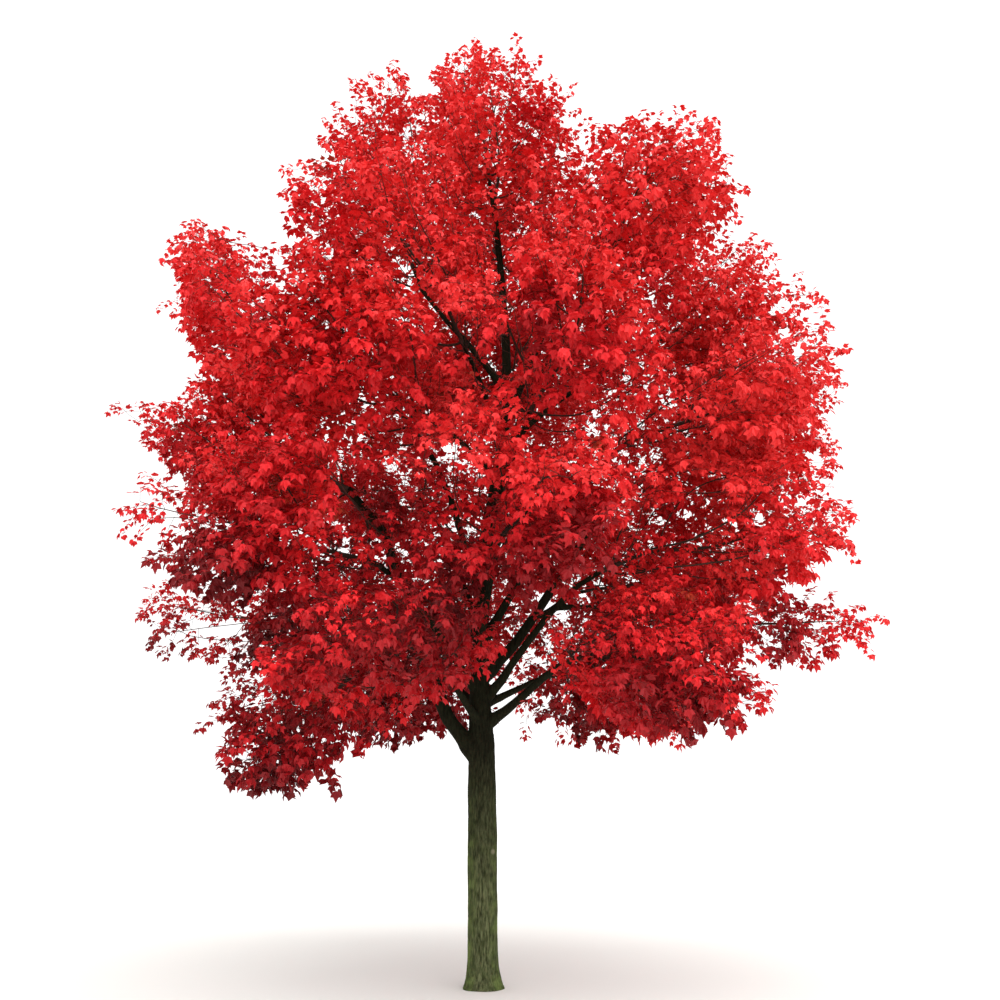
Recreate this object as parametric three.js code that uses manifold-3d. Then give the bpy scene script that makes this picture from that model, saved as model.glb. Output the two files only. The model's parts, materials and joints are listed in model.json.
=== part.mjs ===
// A broad, round-headed red maple in full autumn leaf, about 9.6 m tall, rooted in the ground.
//
// One trunk runs from a flat cut at ground level, through the lowest fork, to its tip under the
// top of the crown. Boughs leave it, or each other, at rising heights, and each bough carries one
// mass of foliage. The masses stand in tiers round the trunk and are set apart by narrow gaps.
//
// Units are millimetres, +Z is up, and the origin is the middle of the flat cut under the trunk.
// Angles round the trunk are degrees from +X towards +Y; the crown's show side faces -Y.
import * as THREE from "three";
import { ImprovedNoise } from "three/addons/math/ImprovedNoise.js";
import { mergeVertices } from "three/addons/utils/BufferGeometryUtils.js";
import Module from "manifold-3d";

const wasm = await Module();
wasm.setup();

// ---- Driving dimensions ----------------------------------------------------------------------

const GAP = 0.4; // running gap between touching solids
const MASS_GAP = 30; // open seam between neighbouring masses of foliage
const SOCKET = 300; // how far a bough's tip runs into its mass
const SAME_POINT = 1e-3; // corners nearer than this are one corner

const TRUNK = {
  height: 8450, // ground to the tip inside the top mass
  boleRadius: 134, // at breast height
  forkFrom: 1800, // the height where the lowest forks start to thin the bole
  forkTo: 2600, // the height where they have left
  crownRadius: 108, // just above the lowest forks
  crownTaper: 1.15, // 1 thins the trunk evenly from there to its tip
  tipRadius: 20,
  flare: 0.42, // extra radius at the ground, as a share
  flareHeight: 105, // height over which the flare fades to a third
  buttresses: 5,
  buttressDepth: 0.07, // of the radius, at the ground
  buttressTwist: 0.8, // radians by which the buttresses are unevenly spaced
  sides: 12,
  rings: 18,
  ringCrowding: 1.7, // over 1, the rings crowd towards the foot
};

// The sway of the trunk's centre line: [height, towards +X, towards +Y].
const SWAY = [
  [0, 0, 0],
  [1900, -20, 0],
  [3100, -50, 30],
  [4200, 30, 50],
  [5300, 220, -20],
  [6400, 200, -60],
  [7500, 110, -20],
  [8450, -10, 20],
];

const BOUGH = {
  sides: 6,
  rings: 5,
  tipShare: 0.6, // tip radius as a share of the root radius
  sag: 0.3, // share of the length over which it leaves and arrives straight
};

// Each tier's usual mass: the height and the reach of its middle, its half sizes outwards, sideways
// and upwards, how steeply it climbs outwards in degrees, and its bough: how far below the mass it
// leaves the trunk, how steeply in degrees, and its root radius. Each mass has its turn round the
// trunk and names only what differs from the usual. A bough that sets off to one side of its mass
// has the `swing` to that side in degrees. A bough that grows from another bough names it in
// `from`, with the share along it in `along`, so parents come before their children.
const TIERS = {
  middle: {
    usual: { height: 5250, reach: 2250, long: 1400, wide: 1150, tall: 760, climb: 14,
             drop: 1450, leave: 52, thick: 44 },
    masses: {
      left: { turn: 182, height: 5100, reach: 2300, tall: 780, drop: 3180, leave: 40, thick: 74 },
      right: { turn: 10, height: 5250, reach: 2250, drop: 2560, leave: 38, thick: 56 },
      front: { turn: 281, height: 5250, reach: 1950, long: 1300, drop: 1250 },
      rear_left: { turn: 131, wide: 1350, tall: 840, drop: 2000 },
      front_left: { turn: 232, height: 5250, reach: 2150, wide: 1150, drop: 1700 },
      rear: { turn: 72, wide: 1350, tall: 840, drop: 1500 },
      front_right: { turn: 328, height: 5250, reach: 2050, long: 1250, drop: 2250 },
    },
  },
  low: {
    usual: { height: 3900, reach: 2250, long: 1400, wide: 1150, tall: 720, climb: 4,
             drop: 1100, leave: 40, thick: 44 },
    masses: {
      left: { turn: 172, height: 3600, reach: 2150, long: 1350, tall: 730,
              from: "middle_left", along: 0.42, leave: 14, thick: 36 },
      front_left: { turn: 224, height: 3900, reach: 2100, drop: 1330 },
      front: { turn: 277, height: 3950, reach: 1950, long: 1250, drop: 1000 },
      right: { turn: 339, height: 4050, reach: 2200, long: 1300, tall: 760, drop: 1600, leave: 46 },
      arm: { turn: 354, height: 3180, reach: 2850, long: 900, wide: 430, tall: 260, climb: -2,
             from: "low_right", along: 0.66, leave: 4, thick: 24 },
      rear_right: { turn: 34, wide: 1250, tall: 800,
                    from: "middle_right", along: 0.3, leave: 24, thick: 32 },
      rear: { turn: 102, height: 4000, wide: 1450, tall: 820, drop: 820 },
    },
  },
  skirt: {
    usual: { height: 2900, reach: 2000, long: 1150, wide: 1000, tall: 520, climb: -6,
             drop: 540, leave: 28, thick: 40 },
    masses: {
      left: { turn: 196, height: 2370, reach: 1640, long: 800, wide: 740, tall: 600, climb: -30,
              from: "low_left", along: 0.5, leave: -20, thick: 24 },
      front: { turn: 242, height: 2880, reach: 1650, drop: 600, thick: 38 },
      right: { turn: 318, height: 2830, reach: 1880, long: 1020, wide: 980, tall: 620, climb: -14,
               drop: 565, leave: 24, swing: 50, thick: 48 },
      rear_right: { turn: 42, wide: 1250, tall: 620, drop: 440, leave: 16 },
      rear: { turn: 118, height: 2980, wide: 1350, tall: 620, drop: 560 },
    },
  },
  upper: {
    usual: { height: 6650, reach: 1900, long: 1350, wide: 1100, tall: 820, climb: 26,
             drop: 1500, leave: 56, thick: 36 },
    masses: {
      left: { turn: 178, height: 6300, reach: 2350, long: 1520, wide: 1350, tall: 840, climb: 24,
              drop: 1600 },
      front_left: { turn: 240, height: 6380, reach: 1650, wide: 980, drop: 1350 },
      front: { turn: 306, height: 6400, reach: 1750, wide: 1000, drop: 1600 },
      right: { turn: 4, height: 6420, reach: 1950, long: 1300, wide: 1350, drop: 1450 },
      rear: { turn: 90, height: 6700, wide: 1600, tall: 950, drop: 1550 },
    },
  },
  high: {
    usual: { height: 8000, reach: 1150, long: 1100, wide: 880, tall: 700, climb: 50,
             drop: 1300, leave: 60, thick: 28 },
    masses: {
      left: { turn: 184, height: 8150, reach: 1000, long: 1480, wide: 850, tall: 780, climb: 96,
              drop: 2650, leave: 75, thick: 38 },
      front: { turn: 272, height: 7900, reach: 850, long: 1000, drop: 1150 },
      right: { turn: 350, height: 7600, reach: 1380, long: 1120, climb: 46,
               drop: 2250, leave: 64, thick: 40 },
      rear: { turn: 84, wide: 1150, tall: 850, drop: 1200 },
    },
  },
};

// The mass round the tip of the trunk.
const CROWN_TOP = { height: 8800, long: 960, wide: 800, tall: 760, offset: [60, 0] };

// The lumps in a mass's surface: their depth as a share of its reach, how many there are across it,
// and how finely its surface is divided. The shift, per millimetre, gives each mass its own lumps.
const LUMPS = { depth: 0.2, pitch: 1.9, detail: 2, shift: 0.0037 };

const COLOURS = {
  bark: new THREE.MeshStandardMaterial({ color: 0x5a5645, roughness: 0.95, metalness: 0 }),
  leaves: new THREE.MeshStandardMaterial({ color: 0xc0141c, roughness: 0.8, metalness: 0 }),
};

// ---- Solids ----------------------------------------------------------------------------------

const UP = new THREE.Vector3(0, 0, 1);
const radians = THREE.MathUtils.degToRad;

// A closed three.js geometry as a solid, for cutting.
function solidOf(geometry) {
  const bare = geometry.index ? geometry.toNonIndexed() : geometry.clone();
  bare.deleteAttribute("normal");
  bare.deleteAttribute("uv");
  const merged = mergeVertices(bare, SAME_POINT);
  return new wasm.Manifold(
    new wasm.Mesh({
      numProp: 3,
      vertProperties: merged.attributes.position.array,
      triVerts: new Uint32Array(merged.index.array),
    }),
  );
}

// The largest body of a solid, as a three.js geometry again.
function geometryOf(solid) {
  const bodies = solid.decompose();
  const largest = bodies.reduce((a, b) => (b.volume() > a.volume() ? b : a));
  const mesh = largest.getMesh();
  const geometry = new THREE.BufferGeometry();
  geometry.setAttribute("position", new THREE.BufferAttribute(mesh.vertProperties, 3));
  geometry.setIndex(new THREE.BufferAttribute(mesh.triVerts, 1));
  geometry.computeVertexNormals();
  return geometry;
}

// ---- Trunk -----------------------------------------------------------------------------------

const swayCurve = new THREE.CatmullRomCurve3(
  SWAY.map(([height, x, y]) => new THREE.Vector3(x, y, height)),
);

const HALVINGS = 40;

// The trunk's centre at a height, found by halving along the sway curve.
function trunkCentre(height) {
  let low = 0;
  let high = 1;
  for (let i = 0; i < HALVINGS; i++) {
    const middle = (low + high) / 2;
    if (swayCurve.getPoint(middle).z < height) low = middle;
    else high = middle;
  }
  const centre = swayCurve.getPoint(low);
  centre.z = height;
  return centre;
}

// The trunk's radius at a height and an angle round it: straight bole, flared foot, thinning crown.
function trunkRadius(height, angle) {
  const { boleRadius, forkFrom, forkTo, crownRadius, tipRadius } = TRUNK;
  const above = Math.max(0, (height - forkFrom) / (TRUNK.height - forkFrom));
  const thinning = THREE.MathUtils.smoothstep(height, forkFrom, forkTo);
  const inCrown = tipRadius + (crownRadius - tipRadius) * Math.pow(1 - above, TRUNK.crownTaper);
  const shaft = THREE.MathUtils.lerp(boleRadius, inCrown, thinning);
  const foot = Math.exp(-height / TRUNK.flareHeight);
  const lobes = Math.cos(TRUNK.buttresses * angle + TRUNK.buttressTwist * Math.sin(angle));
  return shaft * (1 + foot * (TRUNK.flare + TRUNK.buttressDepth * lobes));
}

// A cylinder whose rings are moved to the trunk's own centres and radii. Grown by `grow`, it is the
// tool that cuts boughs and masses clear of the trunk.
function trunkGeometry(grow = 0) {
  const geometry = new THREE.CylinderGeometry(1, 1, 1, TRUNK.sides, TRUNK.rings);
  const position = geometry.attributes.position;
  for (let i = 0; i < position.count; i++) {
    const share = position.getY(i) + 0.5;
    const height = TRUNK.height * Math.pow(share, TRUNK.ringCrowding);
    const angle = Math.atan2(-position.getZ(i), position.getX(i));
    const rim = Math.hypot(position.getX(i), position.getZ(i));
    const radius = rim * (trunkRadius(height, angle) + grow);
    const centre = trunkCentre(height);
    const end = grow * ((share === 1) - (share === 0));
    position.setXYZ(
      i,
      centre.x + radius * Math.cos(angle),
      centre.y + radius * Math.sin(angle),
      height + end,
    );
  }
  return geometry;
}

// ---- Foliage masses --------------------------------------------------------------------------

// Every mass as a tilted ellipsoid: its middle, its three axes (outwards, sideways, upwards) and
// its half sizes along them.
function plannedMasses() {
  const planned = [];
  for (const [tier, { usual, masses }] of Object.entries(TIERS)) {
    for (const [side, own] of Object.entries(masses)) {
      const size = { swing: 0, ...usual, ...own };
      const turn = radians(size.turn);
      const climb = radians(size.climb);
      const level = new THREE.Vector3(Math.cos(turn), Math.sin(turn), 0);
      const outwards = level.clone().multiplyScalar(Math.cos(climb));
      outwards.addScaledVector(UP, Math.sin(climb));
      const sideways = new THREE.Vector3().crossVectors(UP, level);
      const upwards = new THREE.Vector3().crossVectors(outwards, sideways);
      const middle = trunkCentre(size.height).addScaledVector(level, size.reach);
      planned.push({
        name: `leaves_${tier}_${side}`,
        bough: `bough_${tier}_${side}`,
        size,
        level,
        middle,
        axes: [outwards, sideways, upwards],
        halves: [size.long, size.wide, size.tall],
      });
    }
  }
  planned.push({
    name: "leaves_top",
    size: CROWN_TOP,
    middle: new THREE.Vector3(...CROWN_TOP.offset, CROWN_TOP.height),
    axes: [new THREE.Vector3(1, 0, 0), new THREE.Vector3(0, 1, 0), UP],
    halves: [CROWN_TOP.long, CROWN_TOP.wide, CROWN_TOP.tall],
  });
  return planned;
}

// How far an ellipsoid reaches from its middle in one direction.
function ellipsoidReach(mass, direction) {
  const squares = mass.axes.map((axis, k) => (direction.dot(axis) / mass.halves[k]) ** 2);
  return 1 / Math.sqrt(squares[0] + squares[1] + squares[2]);
}

// The planes that keep a mass on its own side of each neighbour: { normal, limit } from its middle.
function fencesOf(mass, all) {
  const fences = [];
  for (const other of all) {
    if (other === mass) continue;
    const normal = other.middle.clone().sub(mass.middle);
    const apart = normal.length();
    normal.normalize();
    const mine = ellipsoidReach(mass, normal) * (1 + LUMPS.depth);
    const theirs = ellipsoidReach(other, normal.clone().negate()) * (1 + LUMPS.depth);
    if (mine + theirs + MASS_GAP < apart) continue;
    fences.push({ normal, limit: (apart * mine) / (mine + theirs) - MASS_GAP / 2 });
  }
  return fences;
}

const noise = new ImprovedNoise();

// The reach of the finished mass in one direction: lumpy, and stopped by its fences.
function massReach(mass, direction) {
  const at = direction.clone().multiplyScalar(LUMPS.pitch).addScaledVector(mass.middle, LUMPS.shift);
  let reach = ellipsoidReach(mass, direction) * (1 + 2 * LUMPS.depth * noise.noise(at.x, at.y, at.z));
  for (const { normal, limit } of mass.fences) {
    const facing = direction.dot(normal);
    if (facing > 0) reach = Math.min(reach, limit / facing);
  }
  return reach;
}

// Directions are rounded to this many steps per unit, so that copies of one corner agree and the
// surface closes.
const STEPS = 1e5;

function massGeometry(mass) {
  const geometry = new THREE.IcosahedronGeometry(1, LUMPS.detail);
  const position = geometry.attributes.position;
  const direction = new THREE.Vector3();
  for (let i = 0; i < position.count; i++) {
    direction.fromBufferAttribute(position, i).normalize();
    direction.multiplyScalar(STEPS).round().normalize();
    const reach = massReach(mass, direction);
    position.setXYZ(
      i,
      mass.middle.x + direction.x * reach,
      mass.middle.y + direction.y * reach,
      mass.middle.z + direction.z * reach,
    );
  }
  return geometry;
}

// ---- Boughs ----------------------------------------------------------------------------------

// A bough's centre line, from inside the trunk or its parent bough to its tip inside its mass.
function boughCurve(mass, parent) {
  const { size, level } = mass;
  const leave = radians(size.leave);
  const start = parent
    ? parent.curve.getPoint(size.along)
    : trunkCentre(size.height - size.drop);
  const heading = level.clone().applyAxisAngle(UP, radians(size.swing));
  const rise = heading.multiplyScalar(Math.cos(leave)).addScaledVector(UP, Math.sin(leave));
  const inwards = start.clone().sub(mass.middle).normalize().sub(mass.axes[0]).normalize();
  const tip = mass.middle.clone().addScaledVector(inwards, massReach(mass, inwards) - SOCKET);
  const stretch = start.distanceTo(tip) * BOUGH.sag;
  return new THREE.CubicBezierCurve3(
    start,
    start.clone().addScaledVector(rise, stretch),
    tip.clone().addScaledVector(inwards, stretch),
    tip,
  );
}

// A cylinder whose rings ride along the curve and thin towards the tip.
function boughGeometry(mass, grow = 0) {
  const { curve, size } = mass;
  const geometry = new THREE.CylinderGeometry(1, 1, 1, BOUGH.sides, BOUGH.rings);
  const position = geometry.attributes.position;
  const side = new THREE.Vector3();
  const over = new THREE.Vector3();
  for (let i = 0; i < position.count; i++) {
    const share = position.getY(i) + 0.5;
    const centre = curve.getPoint(share);
    const along = curve.getTangent(share);
    side.crossVectors(along, UP).normalize();
    over.crossVectors(side, along);
    const rim = Math.hypot(position.getX(i), position.getZ(i));
    const angle = Math.atan2(position.getZ(i), position.getX(i));
    const radius = rim * (size.thick * (1 - (1 - BOUGH.tipShare) * share) + grow);
    centre.addScaledVector(side, radius * Math.cos(angle));
    centre.addScaledVector(over, radius * Math.sin(angle));
    if (share === 1) centre.addScaledVector(along, grow);
    position.setXYZ(i, centre.x, centre.y, centre.z);
  }
  return geometry;
}

// ---- The tree --------------------------------------------------------------------------------

const tree = new THREE.Group();

function addNode(name, geometry, material) {
  const mesh = new THREE.Mesh(geometry, material);
  mesh.name = name;
  tree.add(mesh);
}

const masses = plannedMasses();
for (const mass of masses) mass.fences = fencesOf(mass, masses);

const trunkClearance = solidOf(trunkGeometry(GAP));
addNode("trunk", trunkGeometry(), COLOURS.bark);

const clearances = [trunkClearance];
for (const mass of masses) {
  if (!mass.bough) continue;
  const parent = masses.find((other) => other.bough === `bough_${mass.size.from}`);
  mass.curve = boughCurve(mass, parent);
  mass.clearance = solidOf(boughGeometry(mass, GAP));
  clearances.push(mass.clearance);
  const carrier = parent ? parent.clearance : trunkClearance;
  addNode(mass.bough, geometryOf(solidOf(boughGeometry(mass)).subtract(carrier)), COLOURS.bark);
}

for (const mass of masses) {
  let solid = solidOf(massGeometry(mass));
  for (const clearance of clearances) solid = solid.subtract(clearance);
  addNode(mass.name, geometryOf(solid), COLOURS.leaves);
}

export default tree;
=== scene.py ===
"""A broad garden red maple in full autumn leaf, grown round the frame's trunk, boughs and masses.

The bark skin is drawn round the trunk and boughs. Branches and twigs grow on from them through
each mass of foliage by a seeded rule, and sprays of lobed leaves hang on the last twigs.
"""

import json
import math

import bmesh
import bpy
import numpy as np
from mathutils import Matrix, Vector, noise
from mathutils.bvhtree import BVHTree
from mathutils.kdtree import KDTree

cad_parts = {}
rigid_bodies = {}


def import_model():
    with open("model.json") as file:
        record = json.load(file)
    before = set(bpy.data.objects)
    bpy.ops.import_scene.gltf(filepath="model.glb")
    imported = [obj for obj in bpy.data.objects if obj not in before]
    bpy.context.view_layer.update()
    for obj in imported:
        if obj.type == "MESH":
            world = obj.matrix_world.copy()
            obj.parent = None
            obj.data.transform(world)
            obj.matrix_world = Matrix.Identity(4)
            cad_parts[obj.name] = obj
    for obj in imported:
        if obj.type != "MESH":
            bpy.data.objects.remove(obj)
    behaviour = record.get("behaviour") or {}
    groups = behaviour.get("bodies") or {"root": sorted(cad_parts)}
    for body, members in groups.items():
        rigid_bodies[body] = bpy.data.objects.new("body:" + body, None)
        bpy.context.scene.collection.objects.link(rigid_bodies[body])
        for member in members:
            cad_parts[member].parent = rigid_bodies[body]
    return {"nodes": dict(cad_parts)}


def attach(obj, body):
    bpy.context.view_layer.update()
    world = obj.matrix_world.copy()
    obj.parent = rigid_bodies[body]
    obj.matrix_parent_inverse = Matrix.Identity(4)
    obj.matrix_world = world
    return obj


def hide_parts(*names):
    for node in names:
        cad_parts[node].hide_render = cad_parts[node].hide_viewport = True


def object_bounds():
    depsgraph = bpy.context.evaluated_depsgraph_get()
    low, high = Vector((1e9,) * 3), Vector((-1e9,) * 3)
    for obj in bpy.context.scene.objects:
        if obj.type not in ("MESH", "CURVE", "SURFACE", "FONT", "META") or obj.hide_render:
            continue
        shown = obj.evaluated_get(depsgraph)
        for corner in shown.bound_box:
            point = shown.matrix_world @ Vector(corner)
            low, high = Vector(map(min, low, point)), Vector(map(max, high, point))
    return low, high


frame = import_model()
cad_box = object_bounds()


# ---- Trunk and boughs ----
# A single bole with a slightly flared foot, forking low into steep boughs that swell where they
# join it. The bark is grown in long narrow plates with furrows between, green-grey with moss and
# lichen on the bole. Painted shade from the crown darkens it from under a metre up, so that the
# upper bole, the forks and the boughs are nearly black.

UP = np.array([0.0, 0.0, 1.0])
LIMB_STATIONS = 12
LIMB_ENDS = (0.06, 0.985)  # of a bough's length: its first and last station
LIMB_SPACING = 0.03
LIMB_RISE = 0.3  # a bough points away from the trunk this far below its own middle
LIMB_OTHER_SIDE = 2.5  # cut points this many times further than the nearest are left out
ROOT_STEP = 0.05  # a bough looks for its carrier this far behind its first station
COLLAR_SWELL = 0.55  # extra radius where a bough joins its carrier, as a share
COLLAR_LENGTH = 0.09
BOUGH_SIDES = 14
TRUNK_SIDES = 64
TRUNK_WAVES = 6  # how many waves round the trunk its outline keeps
TRUNK_RIM = 0.002  # the trunk is sliced no nearer than this to its flat ends
BELOW_GROUND = 0.06
FLARE_TOP, FLARE_RINGS = 0.5, 20
BOLE_START, BOLE_RINGS = 0.55, 150
BARK_PARTS = {  # lowest and highest point, and the size of the remesh grid, in metres
    "bark_bole": (0.0, 3.1, 0.0081),
    "bark_boughs": (3.08, 9.0, 0.0113),
}
PLATE_WIDTH = 0.014
PLATE_LENGTH = 0.18
PLATE_BEND, PLATE_BEND_SIZE = 0.6, 0.25  # how far plates bend, in their widths, and over what length
FURROW_DEPTH = 0.005
FURROW_MIDDLE = 0.3  # the share of that depth at which the skin stays in place
FURROW_NARROWING, FURROW_POWER = 2.2, 1.6  # the higher, the narrower it is
CRACK_NARROWING, CRACK_POWER = 1.6, 2
CRACKS_PER_FURROW = 2.1
CRACK_SHARE = 0.25  # of the depth: fine cracks in the plates
FULL_RELIEF_RADIUS = 0.12  # thinner limbs have shallower bark
SWELL_WIDTH = 0.22
SWELL_DEPTH = 0.007
FOOT_EDGE = 0.004  # below this height the relief moves the skin only sideways
KNOT_TURN = -45.0  # degrees round the trunk from +X
KNOT_HEIGHT = 1.15
KNOT_SIZE = 0.03
KNOT_RISE = 0.01
KNOT_CLEARING = 1.5  # in knot sizes: how far furrows keep off it
KNOT_HOLE = (0.35, 0.9)  # the dent in its middle: its width in knot sizes, its depth in rises


def solid(name):
    """The corners and triangles of a frame node."""
    mesh = frame["nodes"][name].data
    mesh.calc_loop_triangles()
    points = np.empty(len(mesh.vertices) * 3)
    mesh.vertices.foreach_get("co", points)
    triangles = np.empty(len(mesh.loop_triangles) * 3, dtype=np.int32)
    mesh.loop_triangles.foreach_get("vertices", triangles)
    return points.reshape(-1, 3), triangles.reshape(-1, 3)


def unit(vectors):
    """Vectors made one long."""
    length = np.linalg.norm(vectors, axis=-1, keepdims=True)
    return vectors / np.maximum(length, 1e-9)


def slice_solid(points, triangles, at, direction):
    """The points where a plane cuts a solid's edges."""
    height = (points - at) @ direction
    start = triangles.ravel()
    end = np.roll(triangles, -1, axis=1).ravel()
    crossing = (height[start] < 0) != (height[end] < 0)
    start, end = start[crossing], end[crossing]
    share = height[start] / (height[start] - height[end])
    return points[start] + share[:, None] * (points[end] - points[start])


def curve_through(points, spacing):
    """A smooth path through a few points, and the share along them of each of its points."""
    points = np.asarray(points, dtype=float)
    padded = np.vstack([2 * points[0] - points[1], points, 2 * points[-1] - points[-2]])
    path, share = [], []
    for i in range(len(points) - 1):
        a, b, c, d = padded[i : i + 4]
        count = max(2, int(np.linalg.norm(c - b) / spacing))
        for t in np.arange(count) / count:
            path.append(
                0.5 * (2 * b + (c - a) * t + (2 * a - 5 * b + 4 * c - d) * t**2
                       + (3 * b - a - 3 * c + d) * t**3)
            )
            share.append(i + t)
    path.append(points[-1])
    share.append(len(points) - 1)
    return np.array(path), np.array(share)


def bough_line(name):
    """The middles and radii along a bough's solid, from root to tip."""
    points, triangles = solid(name)
    middle = points.mean(axis=0)
    chord = np.linalg.svd(points - middle, full_matrices=False)[2][0]
    from_trunk = middle - trunk_ring(middle[2] - LIMB_RISE)[0]
    chord *= np.sign(chord @ from_trunk)
    along = (points - middle) @ chord
    low, high = along.min(), along.max()
    stations = low + (high - low) * np.linspace(*LIMB_ENDS, LIMB_STATIONS)
    rings = [slice_solid(points, triangles, middle + chord * s, chord) for s in stations]
    middles = np.array([ring.mean(axis=0) for ring in rings])
    tangents = unit(np.gradient(middles, axis=0))
    radii = []
    for at, tangent in zip(middles, tangents):
        ring = slice_solid(points, triangles, at, tangent)
        away = np.linalg.norm(ring - at, axis=1)
        radii.append(np.median(away[away < LIMB_OTHER_SIDE * away.min()]))
    return middles, np.array(radii)


trunk_points, trunk_triangles = solid("trunk")
trunk_top = trunk_points[:, 2].max()


def trunk_ring(height):
    """The trunk's middle at a height, and its radius round it, smoothed to a few waves."""
    inside = np.clip(height, TRUNK_RIM, trunk_top - TRUNK_RIM)
    ring = slice_solid(trunk_points, trunk_triangles, UP * inside, UP)
    middle = (ring.max(axis=0) + ring.min(axis=0)) / 2
    offsets = ring - middle
    turn = np.arctan2(offsets[:, 1], offsets[:, 0])
    order = np.argsort(turn)
    angles = np.arange(TRUNK_SIDES) * 2 * np.pi / TRUNK_SIDES
    reach = np.interp(angles, turn[order], np.hypot(*offsets[order, :2].T), period=2 * np.pi)
    waves = np.fft.rfft(reach)
    waves[TRUNK_WAVES:] = 0
    middle[2] = height
    return middle, angles, np.fft.irfft(waves, TRUNK_SIDES)


def tube(points, radii, sides):
    """A closed tube along a path: rings of corners, and the faces between and over them."""
    tangents = unit(np.gradient(points, axis=0))
    slanting = (0.31, 0.95, 0.05)  # a way that no limb runs along
    side = unit(np.cross(tangents[0], slanting))
    corners, faces = [], []
    turn = np.arange(sides) * 2 * np.pi / sides
    for at, tangent, radius in zip(points, tangents, radii):
        side = unit(side - tangent * (side @ tangent))
        over = np.cross(tangent, side)
        corners.append(at + radius * (np.cos(turn)[:, None] * side + np.sin(turn)[:, None] * over))
    for ring in range(len(points) - 1):
        for k in range(sides):
            a, b = ring * sides + k, ring * sides + (k + 1) % sides
            faces.append((a, b, b + sides, a + sides))
    last = (len(points) - 1) * sides
    faces.append(tuple(reversed(range(sides))))
    faces.append(tuple(range(last, last + sides)))
    return np.vstack(corners), faces


def mesh_object(name, vertices, faces, edges=()):
    """An object of its own at the origin, with its place in its mesh."""
    mesh = bpy.data.meshes.new(name)
    mesh.from_pydata(np.asarray(vertices, dtype=float).tolist(), list(edges), list(faces))
    piece = bpy.data.objects.new(name, mesh)
    bpy.context.scene.collection.objects.link(piece)
    return piece


def made_solid(piece):
    """The piece with its modifiers turned into a plain mesh."""
    evaluated = piece.evaluated_get(bpy.context.evaluated_depsgraph_get())
    mesh = bpy.data.meshes.new_from_object(evaluated)
    piece.modifiers.clear()
    piece.data = mesh
    return piece


# Each limb is a path and its radii. The trunk's starts below the ground, to be cut off level there.
bough_names = sorted(n for n in frame["nodes"] if n.startswith("bough_"))
trunk_heights = np.concatenate([
    np.linspace(-BELOW_GROUND, FLARE_TOP, FLARE_RINGS),
    np.linspace(BOLE_START, trunk_top, BOLE_RINGS),
])
trunk_rings = [trunk_ring(h) for h in trunk_heights]
limbs = {"trunk": (np.array([r[0] for r in trunk_rings]), np.array([r[2].mean() for r in trunk_rings]))}
lines = {name: bough_line(name) for name in bough_names}
axis_points = {"trunk": limbs["trunk"][0], **{name: line[0] for name, line in lines.items()}}
for name, (middles, radii) in lines.items():
    start = unit(middles[1] - middles[0])
    behind = middles[0] - start * ROOT_STEP
    others = np.vstack([p for other, p in axis_points.items() if other != name])
    gap = np.linalg.norm(others - behind, axis=1).min()
    root = middles[0] - start * (gap + ROOT_STEP)
    path, share = curve_through(np.vstack([root, middles]), LIMB_SPACING)
    radius = np.interp(share, np.arange(len(radii) + 1), np.concatenate([radii[:1], radii]))
    run = np.concatenate([[0], np.cumsum(np.linalg.norm(np.diff(path, axis=0), axis=1))])
    run = np.maximum(run - gap, 0)
    limbs[name] = (path, radius * (1 + COLLAR_SWELL * np.exp(-run / COLLAR_LENGTH)))

# The whole skeleton's corners and faces. The trunk's tube takes the outline of its solid.
all_corners, all_faces = [], []
corner_count = 0
for name, (path, radius) in limbs.items():
    corners, faces = tube(path, radius, TRUNK_SIDES if name == "trunk" else BOUGH_SIDES)
    if name == "trunk":
        corners = np.vstack([
            middle + reach[:, None] * np.stack([np.cos(angles), np.sin(angles), 0 * angles], axis=1)
            for middle, angles, reach in trunk_rings
        ])
    all_corners.append(corners)
    all_faces.extend(tuple(corner_count + i for i in face) for face in faces)
    corner_count += len(corners)


def point_index(points):
    """An index that finds the nearest of many points."""
    index = KDTree(len(points))
    for i, at in enumerate(points):
        index.insert(at, i)
    index.balance()
    return index


limb_samples = np.vstack([path for path, _ in limbs.values()])
limb_ways = np.vstack([unit(np.gradient(path, axis=0)) for path, _ in limbs.values()])
limb_radii = np.concatenate([radius for _, radius in limbs.values()])
nearest_limb = point_index(limb_samples)


def furrows(at, way):
    """How deep the bark is cut at a point, from 0 on a plate to 1 in a furrow, and its swelling."""
    along = at.dot(way)
    across = at - way * along
    spot = across / PLATE_WIDTH + way * (along / PLATE_LENGTH)
    bend = noise.noise(at / PLATE_BEND_SIZE) * PLATE_BEND
    elsewhere = Vector((7.1, 3.3, 1.7))  # another place in the noise
    from_furrow = abs(noise.noise(spot + Vector((bend, bend, 0)))) * FURROW_NARROWING
    from_crack = abs(noise.noise(spot * CRACKS_PER_FURROW + elsewhere)) * CRACK_NARROWING
    cut = max(0.0, 1 - from_furrow) ** FURROW_POWER * (1 - CRACK_SHARE)
    cut += max(0.0, 1 - from_crack) ** CRACK_POWER * CRACK_SHARE
    swell = noise.noise(across / SWELL_WIDTH + way * (along / (2 * SWELL_WIDTH)))
    return cut, swell


knot_ring = trunk_ring(KNOT_HEIGHT)
knot_way = np.array([math.cos(math.radians(KNOT_TURN)), math.sin(math.radians(KNOT_TURN)), 0])
knot = Vector(knot_ring[0] + knot_ring[2].mean() * knot_way)


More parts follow.
